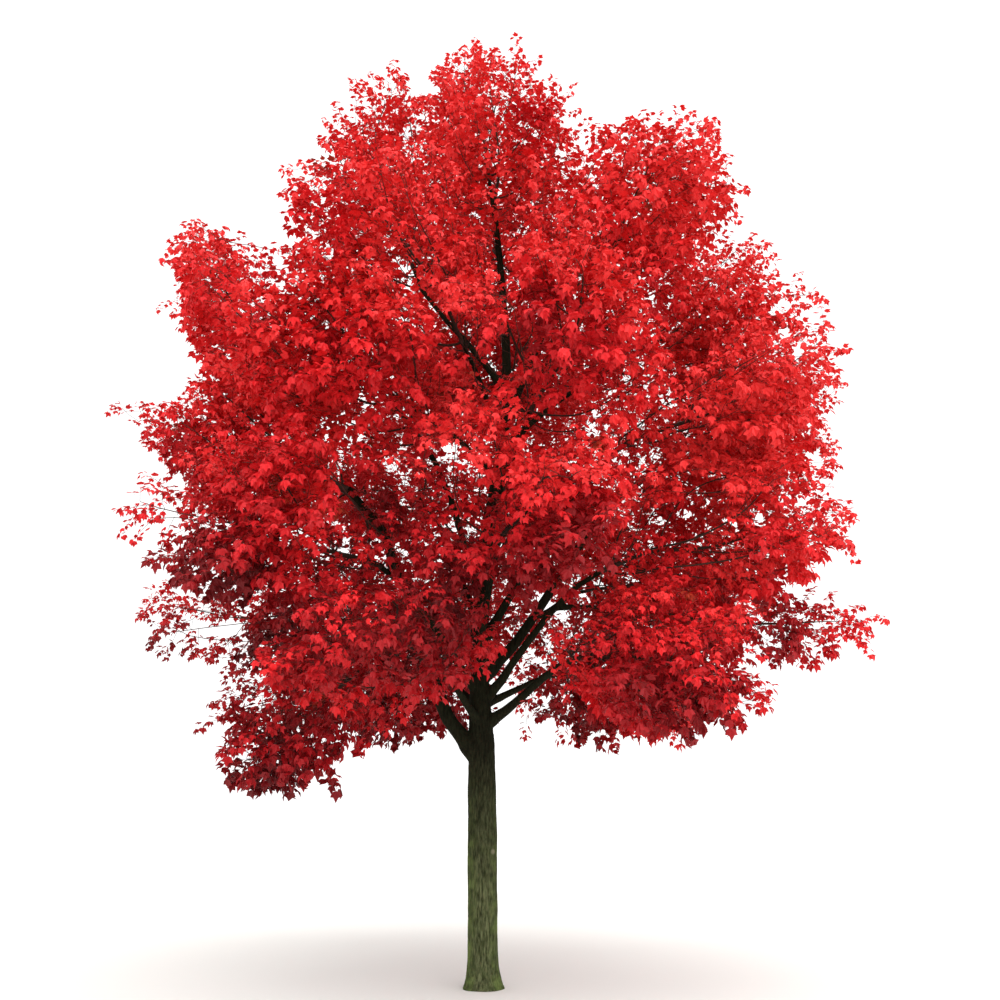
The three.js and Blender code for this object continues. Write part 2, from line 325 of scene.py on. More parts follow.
def bark_piece(name, low, high, grid):
    """One height of the skeleton fused into a single skin, cut level, with the bark's relief."""
    piece = mesh_object(name, np.vstack(all_corners), all_faces)
    remesh = piece.modifiers.new("fuse", "REMESH")
    remesh.mode = "VOXEL"
    remesh.voxel_size = grid
    smooth = piece.modifiers.new("soften", "SMOOTH")
    smooth.factor = 0.5
    smooth.iterations = 5
    made_solid(piece)
    cut = bmesh.new()
    cut.from_mesh(piece.data)
    for height, direction in ((low, -1), (high, 1)):
        found = bmesh.ops.bisect_plane(
            cut, geom=cut.verts[:] + cut.edges[:] + cut.faces[:], dist=1e-5,
            plane_co=(0, 0, height), plane_no=(0, 0, direction), clear_outer=True,
        )
        edges = [e for e in found["geom_cut"] if isinstance(e, bmesh.types.BMEdge)]
        if edges:
            bmesh.ops.holes_fill(cut, edges=edges, sides=0)
    bmesh.ops.triangulate(cut, faces=[f for f in cut.faces if len(f.verts) > 4])
    depth = cut.verts.layers.float.new("furrow")
    cut.normal_update()
    for vertex in cut.verts:
        _, index, _ = nearest_limb.find(vertex.co)
        way = Vector(limb_ways[index])
        groove, swell = furrows(vertex.co, way)
        strength = min(1.0, limb_radii[index] / FULL_RELIEF_RADIUS)
        from_knot = (vertex.co - knot).length / KNOT_SIZE
        groove *= min(1.0, from_knot / KNOT_CLEARING)
        vertex[depth] = groove
        push = strength * (SWELL_DEPTH * swell - FURROW_DEPTH * (groove - FURROW_MIDDLE))
        hole = KNOT_HOLE[1] * math.exp(-(from_knot / KNOT_HOLE[0]) ** 2)
        push += KNOT_RISE * (math.exp(-from_knot**2) - hole)
        normal = vertex.normal.copy()
        if vertex.co.z < FOOT_EDGE:
            normal.z = 0
        vertex.co += normal * push
    cut.to_mesh(piece.data)
    cut.free()
    piece.data.shade_smooth()
    return piece


def linear(colour):
    """An sRGB hex colour as linear red, green, blue and alpha."""
    channels = [int(colour[i : i + 2], 16) / 255 for i in (1, 3, 5)]
    return [c / 12.92 if c <= 0.04045 else ((c + 0.055) / 1.055) ** 2.4 for c in channels] + [1.0]


def add(tree, kind, links=(), **settings):
    """A node with its settings, and its inputs set to values or linked to outputs."""
    node = tree.nodes.new(kind)
    for key, value in settings.items():
        setattr(node, key, value)
    for key, value in dict(links).items():
        if isinstance(value, bpy.types.NodeSocket):
            tree.links.new(value, node.inputs[key])
        else:
            node.inputs[key].default_value = value
    return node


def material(name, colour, roughness, specular):
    """A material with one plain base colour."""
    made = bpy.data.materials.new(name)
    made.use_nodes = True
    finish = made.node_tree.nodes["Principled BSDF"].inputs
    finish["Base Color"].default_value = linear(colour)
    finish["Roughness"].default_value = roughness
    finish["Specular IOR Level"].default_value = specular
    made.diffuse_color = linear(colour)
    return made


# Maple bark: dry and matt, so it has almost no shine. Narrow grey-green plates run up the bole,
# moss greens its flanks, painted shade from the crown darkens the upper bole, the fork and the
# boughs, and the furrows are darker.
STREAKS_PER_METRE = (58.0, 58.0, 13.0)  # streaks 17 mm wide and 77 mm long
PATCHES_PER_METRE = 11.0  # patches of moss 90 mm across
GRAIN_PER_METRE = (180.0, 180.0, 40.0)  # grain 6 mm wide and 25 mm long, drawn coarser than life
GRAIN_HEIGHT = 0.003
bark = material("maple_bark", "#4a463a", 0.95, 0.08)
tree = bark.node_tree
place = add(tree, "ShaderNodeTexCoord").outputs["Object"]
axes = add(tree, "ShaderNodeSeparateXYZ", {"Vector": place}).outputs
streaks_at = add(tree, "ShaderNodeMapping", {"Vector": place, "Scale": STREAKS_PER_METRE})
streaks = add(tree, "ShaderNodeTexNoise", {
    "Vector": streaks_at.outputs[0], "Scale": 1.0, "Detail": 6.0, "Roughness": 0.62,
})
patches = add(tree, "ShaderNodeTexNoise", {"Vector": place, "Scale": PATCHES_PER_METRE, "Detail": 5.0})
furrow = add(tree, "ShaderNodeAttribute", attribute_name="furrow")
flank = add(tree, "ShaderNodeMath", {0: axes["X"]}, operation="ABSOLUTE")
from_knot = add(tree, "ShaderNodeVectorMath", {0: place, 1: knot}, operation="DISTANCE")

# Plates and moss each go from a dark to a light tone, at these values of their noise.
tones = {}
for name, source, *stops in (
    ("plates", streaks, (0.36, "#272a18"), (0.64, "#646849")),
    ("moss", patches, (0.38, "#303c1b"), (0.64, "#62723d")),
):
    node = add(tree, "ShaderNodeValToRGB", {"Fac": source.outputs["Fac"]})
    for stop, (position, colour) in zip(node.color_ramp.elements, stops):
        stop.position = position
        stop.color = linear(colour)
    tones[name] = node.outputs[0]

# What lies over the plates: where each cover starts and is full, and its least and full share.
shares = {}
for name, source, start, full, least, most in (
    ("on_flank", flank.outputs[0], 0.05, 0.125, 0.12, 0.8),
    ("low_down", axes["Z"], 2.0, 1.2, 0.15, 1.0),
    ("in_patch", patches.outputs["Fac"], 0.35, 0.6, 0.55, 1.0),
    # painted shade: from 0.8 m up the bark darkens towards near-black, the crown's shadow painted on the
    # upper bole, the fork and the boughs
    ("rain", axes["Z"], 0.8, 2.05, 0.0, 0.88),
    # the bark is made darker the deeper a point lies in a furrow
    ("dirt", furrow.outputs["Fac"], 0.2, 0.85, 0.0, 0.45),
    ("knot", from_knot.outputs["Value"], KNOT_SIZE, KNOT_SIZE / 2, 0.0, 0.6),
):
    shares[name] = add(tree, "ShaderNodeMapRange", {
        "Value": source, "From Min": start, "From Max": full, "To Min": least, "To Max": most,
    }).outputs[0]
shares["moss"] = shares["on_flank"]
for limit in ("low_down", "in_patch"):
    shares["moss"] = add(tree, "ShaderNodeMath", {
        0: shares["moss"], 1: shares[limit],
    }, operation="MULTIPLY").outputs[0]

COLOUR_FACTOR, COLOUR_A, COLOUR_B, COLOUR_OUT = 0, 6, 7, 2  # a colour mix's own sockets
skin = tones["plates"]
for name, colour in (
    ("moss", tones["moss"]),
    # the near-black colour of that painted shade
    ("rain", linear("#0b0806")),
    ("dirt", linear("#191b10")),
    ("knot", linear("#85816a")),
):
    skin = add(tree, "ShaderNodeMix", {
        COLOUR_FACTOR: shares[name], COLOUR_A: skin, COLOUR_B: colour,
    }, data_type="RGBA").outputs[COLOUR_OUT]
finish = tree.nodes["Principled BSDF"].inputs
tree.links.new(skin, finish["Base Color"])
grain_at = add(tree, "ShaderNodeMapping", {"Vector": place, "Scale": GRAIN_PER_METRE})
grain = add(tree, "ShaderNodeTexNoise", {"Vector": grain_at.outputs[0], "Scale": 1.0, "Detail": 3.0})
rough = add(tree, "ShaderNodeBump", {
    "Height": grain.outputs["Fac"], "Strength": 0.5, "Distance": GRAIN_HEIGHT,
})
tree.links.new(rough.outputs["Normal"], finish["Normal"])

for name, (low, high, grid) in BARK_PARTS.items():
    piece = bark_piece(name, low, high, grid)
    piece.data.materials.append(bark)
    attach(piece, "root")
    if low == 0:
        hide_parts("trunk")
    else:
        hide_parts(*bough_names)


# ---- Branches and twigs ----
# Each bough feeds one mass of the crown. Branches fork from its outer end, and fork again until
# their twigs reach every part of the mass that isn't left open. Thickness follows from what each
# branch carries, so they thin evenly out to brown twigs a few millimetres thick.

SEED = 27
BUD_SPACING = 0.087  # the mean distance between the places a twig grows to
STEP = 0.07  # the length that every growing branch gains at once
MOMENTUM = 0.45  # how strongly a branch keeps its way
REACH = 0.9  # how far off a place still draws a branch
CLAIM = 0.09  # a place within this distance of a twig is taken
PATIENCE = 4  # steps that may bring a place no nearer before it is given up
ROOT_REACH, ROOT_EVERY = 0.75, 3  # branches start on every third point so near a bough's end
PLUME_SPACING = 0.56  # between the ends of neighbouring plumes of foliage
PLUME_RADIUS = 0.36
# A plume's radius in shares, from its mass's heart outwards. Its end has a share of its own.
PLUME_STATIONS, PLUME_SHARES = (0.0, 0.35, 0.78, 1.0), (0.3, 0.75, 1.0)
PLUME_WANDER, PLUME_WANDER_SIZE = 0.35, 0.3  # a ragged edge: its share, and its size
SKIN_SPOTS = 1500  # tried on a mass's skin for the ends of its plumes
FACES_OUT, FACES_UP = -0.2, 0.6  # skin that turns further out or up than this can hold one
# A mass's habit, or its tier's: how flat its plumes lie, how strongly its twigs turn up, how far
# inside its solid growth stops, how thick its twigs stand, how blunt its plumes end, and its
# openness: there is sky where the shelves' noise is below that, so -1 leaves none.
HABITS = {
    "skirt": (1.6, -0.04, 0.02, 1.0, 0.8, -1.0),
    "low": (1.9, -0.02, 0.02, 1.05, 0.8, -0.12),
    "low_left": (1.9, -0.02, 0.02, 1.0, 0.8, 0.02),
    "low_arm": (1.2, 0.0, 0.0, 1.5, 1.0, -1.0),
    "middle": (1.6, 0.0, 0.03, 1.0, 0.8, -0.12),
    "middle_left": (1.6, 0.0, 0.03, 1.0, 0.8, 0.04),
    "upper": (1.2, 0.08, 0.03, 1.0, 0.8, -0.07),
    "upper_right": (1.1, 0.1, 0.02, 0.95, 0.4, 0.04),
    "high": (0.9, 0.14, 0.0, 1.15, 0.45, -0.02),
    "high_right": (1.0, 0.14, 0.0, 0.95, 0.4, 0.07),
    "top": (0.8, 0.16, 0.0, 1.0, 0.3, -0.14),
}
STRAY_SHARE = 0.02  # how full the crown is between its plumes
INNER_SHARE = 0.3  # how full the shaded heart of the crown is
INNER_TO_OUTER = (0.3, 0.6)  # outwardness where the heart ends, and where the crown is full
TWIG_RADIUS = 0.0021
FORK_SWELL = 1.12  # how much thicker a run is at its fork
TRUNK_TOP_START = 8.15  # the height where the trunk's tip starts to branch into the top mass
CROWN_SLICES, SLICE_REACH = 16, 0.5  # level slices that measure the crown, and half their thickness
TOP_SLICES = 4  # over the lowest of these, the crown's top counts as its edge too

rng = np.random.default_rng(SEED)
mass_names = sorted(n for n in frame["nodes"] if n.startswith("leaves_"))
solids = {name: solid(name) for name in mass_names}
crown_points = np.vstack([points for points, _ in solids.values()])
heights = np.linspace(crown_points[:, 2].min(), crown_points[:, 2].max(), CROWN_SLICES)
axis_xy = np.array([trunk_ring(min(h, trunk_top))[0][:2] for h in heights])


def from_axis(points):
    """The level way from the crown's axis to each point."""
    axis = np.stack([np.interp(points[:, 2], heights, axis_xy[:, k]) for k in (0, 1)], axis=1)
    return np.column_stack([points[:, :2] - axis, np.zeros(len(points))])


away = np.linalg.norm(from_axis(crown_points), axis=1)
crown_reach = np.array([away[np.abs(crown_points[:, 2] - h) < SLICE_REACH].max() for h in heights])


def outwardness(points):
    """How far out in the crown points lie, from 0 at its axis to 1 at its edge."""
    edge = np.interp(points[:, 2], heights, crown_reach)
    top_from = heights[-TOP_SLICES]
    high = np.clip((points[:, 2] - top_from) / (heights[-1] - top_from), 0, 1)
    return np.maximum(np.linalg.norm(from_axis(points), axis=1) / edge, high)


def deep_inside(points, triangles, spots, inset):
    """Which spots lie inside a solid by at least the inset."""
    surface = BVHTree.FromPolygons([Vector(p) for p in points], triangles.tolist())
    kept = np.zeros(len(spots), dtype=bool)
    for i, spot in enumerate(spots):
        near, normal, _, gap = surface.find_nearest(spot)
        kept[i] = (Vector(spot) - near).dot(normal) < 0 and gap > inset
    return kept


def plume_ends(points, triangles, inset):
    """Evenly spaced spots just under the open side of a mass's skin, where its plumes end."""
    a, b, c = (points[triangles[:, k]] for k in range(3))
    across = np.cross(b - a, c - a)
    area = np.linalg.norm(across, axis=1)
    chosen = rng.choice(len(triangles), SKIN_SPOTS, p=area / area.sum())
    u, v = np.sort(rng.random((2, SKIN_SPOTS, 1)), axis=0)
    normals = unit(across[chosen])
    spots = a[chosen] * u + b[chosen] * (v - u) + c[chosen] * (1 - v) - normals * inset
    outwards = (normals * unit(from_axis(spots))).sum(axis=1)
    spots = spots[(outwards > FACES_OUT) | (normals[:, 2] > FACES_UP)]
    ends = [spots[np.linalg.norm(from_axis(spots), axis=1).argmax()]]
    gap = np.linalg.norm(spots - ends[0], axis=1)
    while gap.max() > PLUME_SPACING:
        ends.append(spots[gap.argmax()])
        gap = np.minimum(gap, np.linalg.norm(spots - ends[-1], axis=1))
    return np.array(ends)


def off_line(spots, start, end):
    """How far along the line from start to end spots lie, as a share, and their way off it."""
    way = end - start
    along = np.clip((spots - start) @ way / (way @ way), 0, 1)
    return along, spots - start - along[:, None] * way


def nearest_plume(spots, heart, ends, flatness, bluntness):
    """How far spots lie from the middle of the nearest plume: 0 on it and 1 at its edge."""
    nearest = np.full(len(spots), np.inf)
    for end in ends:
        along, off = off_line(spots, heart, end)
        off[:, 2] *= flatness
        radius = PLUME_RADIUS * np.interp(along, PLUME_STATIONS, (*PLUME_SHARES, bluntness))
        nearest = np.minimum(nearest, np.linalg.norm(off, axis=1) / radius)
    return nearest


# Foliage lies in broken shelves round the crown, with sky between them. They follow the boughs,
# from drooping a little at the skirt to steep at the top.
SHELF_HEIGHT = 0.5  # half the distance from one shelf to the next
SHELF_BREADTH = 0.75  # how far a gap runs outwards
SHELF_TURN = 0.75  # radians: how far it runs round the crown
SHELF_START = 128.06  # where in the noise the shelves begin
SHELF_SLOPES = ((2.4, 4.2, 6.0, 8.6), (-0.2, 0.1, 0.45, 1.1))  # heights, and the rise per metre outwards
SHELF_CORE = 0.35  # no gap runs further in than this outwardness
TIP_FOLIAGE = 0.2  # no gap comes nearer than this to the line to a mass's furthest tip


def between_shelves(spots, openness):
    """Which spots lie in the open air between two shelves."""
    way = from_axis(spots)
    out = np.linalg.norm(way, axis=1)
    turn = np.arctan2(way[:, 0], -way[:, 1])
    rise = spots[:, 2] - out * np.interp(spots[:, 2], *SHELF_SLOPES)
    at = np.column_stack([out / SHELF_BREADTH, turn / SHELF_TURN, rise / SHELF_HEIGHT]) + SHELF_START
    fill = np.array([noise.noise(Vector(p)) for p in at])
    return (fill < openness) & (outwardness(spots) > SHELF_CORE)


# The leaders and the larger side boughs show in places, through ragged lanes that lead down and
# forwards out of the foliage. Each limb is named with the heights of its lane.
LANES = {
    "trunk": (4.75, 8.4),
    "bough_high_left": (4.6, 7.6),
    "bough_high_right": (4.6, 7.3),
    "bough_upper_left": (4.6, 6.3),
    "bough_upper_right": (4.6, 6.6),
    "bough_middle_left": (3.2, 5.2),
    "bough_middle_right": (3.0, 4.7),
    "bough_low_left": (2.8, 3.6),
}
LANE_WAY = unit(np.array([0.0, -1.0, -0.42]))
LANE_WIDTH = 0.1
LANE_GROWTH_WIDTH = 1.3  # of that: twigs keep further off than leaves
LANE_TOP = 7.4  # above this height the lanes are narrow
LANE_TOP_SHARE = 0.6  # of the width
LANE_ROUGHNESS = 0.35  # the distance over which a lane opens and closes
LANE_USUAL, LANE_CHANGE = 0.55, 2.0  # of the width: its usual share, and its change
LANE_EVERY = 2  # every second point of a limb's path
LANE_LIMB = 0.08  # a lane starts this far in front of the limb's middle

lane_points = np.vstack([
    path[(path[:, 2] > LANES[name][0]) & (path[:, 2] < LANES[name][1])]
    for name, (path, _) in limbs.items() if name in LANES
])[::LANE_EVERY]
lane_noise = np.array([noise.noise(Vector(p) / LANE_ROUGHNESS) for p in lane_points])
lane_open = LANE_USUAL + LANE_CHANGE * lane_noise
lane_open *= np.where(lane_points[:, 2] > LANE_TOP, LANE_TOP_SHARE, 1.0)
lane_side = unit(np.cross(LANE_WAY, UP))
lane_over = np.cross(lane_side, LANE_WAY)
lanes = point_index([(at @ lane_side, at @ lane_over, 0) for at in lane_points])


def in_lane(spots, width):
    """Which spots stand in front of a leader, within the width of its lane."""
    found = np.zeros(len(spots), dtype=bool)
    for k, spot in enumerate(spots):
        _, near, aside = lanes.find((spot @ lane_side, spot @ lane_over, 0))
        ahead = (spot - lane_points[near]) @ LANE_WAY
        found[k] = ahead > LANE_LIMB and aside < width * lane_open[near]
    return found


def growth_places(points, triangles, heart, habit):
    """The places in a mass that its twigs grow to, gathered in plumes with sky between them."""
    flatness, _, inset, thickness, bluntness, openness = habit
    low, high = points.min(axis=0), points.max(axis=0)
    count = int(np.prod(high - low) / BUD_SPACING**3 * thickness)
    spots = low + rng.random((count, 3)) * (high - low)
    ends = plume_ends(points, triangles, inset)
    wander = np.array([noise.noise(Vector(spot) / PLUME_WANDER_SIZE) for spot in spots])
    in_plume = nearest_plume(spots, heart, ends, flatness, bluntness) + PLUME_WANDER * wander < 1
    fullness = np.interp(outwardness(spots), INNER_TO_OUTER, (INNER_SHARE, 1))
    share = np.where(in_plume, fullness, STRAY_SHARE)
    spots = spots[rng.random(count) < share]
    beside_tip = np.linalg.norm(off_line(spots, heart, ends[0])[1], axis=1) < TIP_FOLIAGE
    spots = spots[beside_tip | ~between_shelves(spots, openness)]
    ends = np.vstack([ends[:1], ends[1:][~between_shelves(ends[1:], openness)]])
    spots = spots[deep_inside(points, triangles, spots, inset)]
    return np.vstack([ends, spots[~in_lane(spots, LANE_GROWTH_WIDTH * LANE_WIDTH)]])


def grow(starts, places, lift):
    """Branches grown from the starts towards every place: points and their parents."""
    nodes = [np.array(p) for p in starts]
    parents = [-1] * len(nodes)
    heading = [np.zeros(3) for _ in nodes]
    spread = np.linalg.norm(places[:, None] - np.array(nodes)[None], axis=2)
    nearest = spread.argmin(axis=1)
    gap = spread.min(axis=1)
    open_places = gap > CLAIM
    tries = np.zeros(len(places), dtype=int)
    while open_places.any():
        reach = max(REACH, gap[open_places].min() + 1e-6)
        pulled = np.flatnonzero(open_places & (gap <= reach))
        from_nodes, group = np.unique(nearest[pulled], return_inverse=True)
        pull = np.zeros((len(from_nodes), 3))
        toward = unit(places[pulled] - np.array(nodes)[nearest[pulled]])
        np.add.at(pull, group, toward)
        pull = unit(pull)
        fresh = []
        for k, source in enumerate(from_nodes):
            way = pull[k] + MOMENTUM * heading[source] + lift
            way = way / np.linalg.norm(way)
            at = nodes[source] + STEP * way
            fresh.append(at)
            nodes.append(at)
            parents.append(int(source))
            heading.append(way)
        fresh = np.array(fresh)
        to_fresh = np.linalg.norm(places[:, None] - fresh[None], axis=2)
        closer = to_fresh.min(axis=1) < gap - 1e-6
        tries[pulled] += 1
        tries[closer] = 0
        nearest = np.where(closer, len(nodes) - len(fresh) + to_fresh.argmin(axis=1), nearest)
        gap = np.where(closer, to_fresh.min(axis=1), gap)
        open_places &= (gap > CLAIM) & (tries < PATIENCE)
    return np.array(nodes), np.array(parents)


def load_on(nodes, parents, starts):
    """How many last twigs each grown point carries, and how many points grow from it."""
    carried = np.zeros(len(nodes))
    children = np.zeros(len(nodes), dtype=int)
    for i in range(len(nodes) - 1, -1, -1):
        if children[i] == 0:
            carried[i] = float(i >= starts)
        if parents[i] >= 0:
            carried[parents[i]] += carried[i]
            children[parents[i]] += 1
    return carried, children


def chains(nodes, parents, starts, carried, thickest):
    """The grown points as tapering runs, each from its fork to a tip along its thickest child."""
    most = max(carried[starts:].max(), 2.0)
    power = math.log(thickest / TWIG_RADIUS) / math.log(most)
    main = {}
    for i in range(starts, len(nodes)):
        p = parents[i]
        if p >= starts and (p not in main or carried[i] > carried[main[p]]):
            main[p] = i
    for i in range(starts, len(nodes)):
        if main.get(parents[i]) == i:
            continue
        run = [parents[i], i]
        while run[-1] in main:
            run.append(main[run[-1]])
        path = nodes[run]
        path[1:-1] = 0.5 * path[1:-1] + 0.25 * (path[:-2] + path[2:])
        thick = TWIG_RADIUS * np.maximum(carried[run], 1) ** power
        thick[0] = thick[1] * FORK_SWELL
        yield path, thick


branch_runs, twig_runs, shoot_runs = [], [], []
THIN = 0.0058  # under this radius a run is counted as twig
TWIG_EVERY = 2  # twigs keep every second point of their path
SLIM_LOAD = 2  # a twig that carries no more than this many last twigs has leaves on its sides


def sort_run(path, thick):
    """Puts the thick part of a run with the branches and the thin rest with the twigs."""
    thin = np.flatnonzero(thick < THIN)
    cut = thin[0] if len(thin) else len(path)
    if cut > 1:
        branch_runs.append((path[:cut + 1], thick[:cut + 1]))
    if cut < len(path):
        first = cut - 1 if cut > 1 else 0
        kept = np.unique(np.append(np.arange(first, len(path), TWIG_EVERY), len(path) - 1))
        twig_runs.append((path[kept], thick[kept]))


def twigs_of(starts, places, lift, thickest):
    """Grows one part of the crown and returns where its last twigs and side buds are and point."""
    nodes, parents = grow(starts, places, lift)
    carried, children = load_on(nodes, parents, len(starts))
    for run in chains(nodes, parents, len(starts), carried, thickest):
        sort_run(*run)
    grown = np.arange(len(nodes)) >= len(starts)
    found = {}
    slim = (children == 1) & (carried <= SLIM_LOAD)
    for kind, here in (("tips", children == 0), ("slim", slim)):
        at = np.flatnonzero(here & grown)
        found[kind] = nodes[at]
        found[kind + "_ways"] = unit(nodes[at] - nodes[parents[at]])
    return found


sprays = {}
for name in mass_names:
    points, triangles = solids[name]
    tier = name.split("_")[1]
    if tier == "top":
        path, radius = limbs["trunk"]
        branching = path[:, 2] > TRUNK_TOP_START
        path, radius = path[branching], radius[branching]
        heart = path[0]
    else:
        path, radius = limbs[name.replace("leaves_", "bough_")]
        heart = path[-1]
    habit = HABITS.get(name.removeprefix("leaves_"), HABITS[tier])
    places = growth_places(points, triangles, heart, habit)
    starts = path[np.linalg.norm(path - path[-1], axis=1) < ROOT_REACH][::ROOT_EVERY]
    sprays[name] = twigs_of(starts, places, UP * habit[1], radius[-1])

# Short leafy shoots stand on the boughs and the upper trunk, inside the crown.
INNER_FROM, INNER_TO = 2.6, 7.0
INNER_EVERY = 4  # every fourth point of a limb's path can have one
INNER_SHOOTS = 330
INNER_LENGTH = (0.18, 0.6)
INNER_SPREAD, INNER_RISE = (1, 1, 0.5), (0, 0, 0.35)
INNER_LIFT = 0.1
INNER_THICKEST = 0.006
on_limbs = (limb_samples[:, 2] > INNER_FROM) & (limb_samples[:, 2] < INNER_TO)
inner_starts = limb_samples[on_limbs][::INNER_EVERY]
chosen = rng.choice(len(inner_starts), INNER_SHOOTS)
sideways = unit(rng.normal(0, 1, (INNER_SHOOTS, 3)) * INNER_SPREAD + INNER_RISE)
inner_places = inner_starts[chosen] + sideways * rng.uniform(*INNER_LENGTH, INNER_SHOOTS)[:, None]
inner_places = inner_places[~in_lane(inner_places, LANE_WIDTH)]
sprays["leaves_inner"] = twigs_of(inner_starts, inner_places, UP * INNER_LIFT, INNER_THICKEST)


# ---- Leaves ----
# Leaves stand in opposite pairs along the last twigs, on slim stalks, and hang from them: a blade
# 5 to 10 cm wide with three main lobes and two small ones at its base, folded a little between
# them. Each spray has one autumn tint, from deep crimson to scarlet: partly its own colour, partly
# painted shade in the crown's heart, low down and under other sprays, and painted light at its
# edge, high up and on the right.

LEAF_WIDTH = (0.045, 0.069)
SHADE_GROWTH = 0.56  # how much wider leaves grow in full shade, as a share
STALK = 0.5  # of the blade's width, as the next two are
STALK_END = (0.0, 0.95 * STALK, 0.18 * STALK)  # where the blade joins it
STALK_WIDTH = 0.022
SPRAY_LENGTH = (0.12, 0.21)
SPRAY_DROOP = (0.15, 0.7)
DROOP_HEIGHTS = ((2, 5, 9), (1.3, 0.8, -0.35))  # heights, and the share of that droop there
SPRAY_OUTWARDS = 0.35
SPRAY_SCATTER = 0.25
SHOOT_TAPER = (1.0, 0.8, 0.5)  # of a twig's radius, at the shoot's root, middle and tip
PAIRS = 4
STALK_AHEAD, STALK_UP = 0.55, 0.12  # how far a stalk leans along its twig, and up
PAIR_UPRIGHT = 0.8  # how far an upright pair stands out, where a level one has 1
STALK_SCATTER = 0.18
PAIR_SCATTER = 0.35  # radians that a pair is off its quarter turn
LAST_SCATTER = 0.2  # the leaf at the shoot's tip
FACE_UP = 0.8  # how strongly a blade turns its face to the sky
# How far each kind of leaf hangs from its stalk in degrees, how far it is folded, and its share.
LEAF_HANGS = {
    "leaf_level": (22, 1.0, 0.1),
    "leaf_tilted": (46, 1.2, 0.26),
    "leaf_hanging": (70, 0.8, 0.42),
    "leaf_folded": (92, 1.6, 0.22),
}
# Half of the blade's outline from its stalk on: how far across, how far out and how raised.
LEAF_HALF = (
    (0.33, 0.10, -0.06),
    (0.50, 0.52, -0.10),
    (0.22, 0.55, 0.03),
)
LEAF_TIP = (0.0, 1.0, -0.16)
TINTS = ("#670d11", "#790f14", "#8c1016", "#9f1118", "#b1131a", "#c2161d", "#d01a20", "#da1e22",
         "#dd2526", "#e22e2e", "#a8301c")
MIDDLE_TINT = 7.2  # the tint, counted from 0, of a spray whose tone and painted light add up to 0
RARE_TINT_SHARE = 0.006  # of the last tint, a duller orange red
SHADE_REACH = 0.34
USUAL_SHADE = 14  # sprays within that reach over a spray
# How many tints brighter a spray is: in a patch that turned early, and as painted light and shade,
# out at the crown's edge, higher up, and from -X to +X, the key light's side. Sprays that hang over
# it darken it as painted shade.
TONE_PATCHES = 5.2
TONE_PATCH_SIZE = 0.9
PAINTED_LIGHT_OUTWARDS, TONE_EDGE = 1.6, 0.8  # the edge is the outwardness where this is 0
TONE_SHADED = 1.4
PAINTED_LIGHT_HEIGHTS = ((2.4, 3.2, 4.2, 5.4, 9.0), (-3.0, -2.2, -0.1, 1.7, 3.2))
PAINTED_LIGHT_SIDES = ((-3.5, -1.0, 1.0, 2.2, 3.5), (-1.6, 0.0, 0.6, 2.5, 2.9))
TONE_SCATTER = 0.12
ALIKE_SHARE = 0.8  # of a spray's leaves hang alike
PAST_BOX = 0.027  # how far leaves may reach past the solids' box, as a share of its sides
LONGEST_LEAF = 0.1


def geometry_tree(name, inputs):
    """An empty geometry node tree with a geometry input and output and the named inputs."""
    made = bpy.data.node_groups.new(name, "GeometryNodeTree")
    made.interface.new_socket("Geometry", in_out="INPUT", socket_type="NodeSocketGeometry")
    made.interface.new_socket("Geometry", in_out="OUTPUT", socket_type="NodeSocketGeometry")
    for label, kind in inputs.items():
        made.interface.new_socket(label, in_out="INPUT", socket_type=kind)
    return made, add(made, "NodeGroupInput").outputs


def run_tree(piece, made, values):
    """Runs a geometry node tree on a piece, with its inputs set by identifier."""
    modifier = piece.modifiers.new(made.name, "NODES")
    modifier.node_group = made
    sockets = {item.name: item.identifier for item in made.interface.items_tree}
    for label, value in values.items():
        modifier[sockets[label]] = value
    return made_solid(piece)


def leaf_blade(hang, fold):
    """A leaf in widths: its stalk along +Y from the origin, and its blade bent down from that."""
    right = [Vector((x, y, z * fold)) for x, y, z in LEAF_HALF]
    left = [Vector((-p.x, p.y, p.z)) for p in reversed(right)]
    outline = [Vector((0, 0, 0)), *right, Vector(LEAF_TIP), *left]
    bend = Matrix.Rotation(math.radians(-hang), 3, "X")
    corners = [Vector(STALK_END) + bend @ p for p in outline]
    faces = [(0, k, k + 1) for k in range(1, len(corners) - 1)]
    corners += [Vector((-STALK_WIDTH, 0, 0)), Vector((STALK_WIDTH, 0, 0))]
    faces.append((0, len(corners) - 2, len(corners) - 1))
    return corners, faces


leaf_kinds = bpy.data.collections.new("leaf_kinds")
for name, (hang, fold, _) in LEAF_HANGS.items():
    corners, faces = leaf_blade(hang, fold)
    kind = bpy.data.objects.new(name, bpy.data.meshes.new(name))
    kind.data.from_pydata(corners, [], faces)
    leaf_kinds.objects.link(kind)

# Autumn leaves: a thin skin with little wax, so a faint, broad shine. One plain colour each.
leaf_tints = [
    material(f"autumn_leaf_{number:02d}", colour, 0.55, 0.24)
    for number, colour in enumerate(TINTS, 1)
]

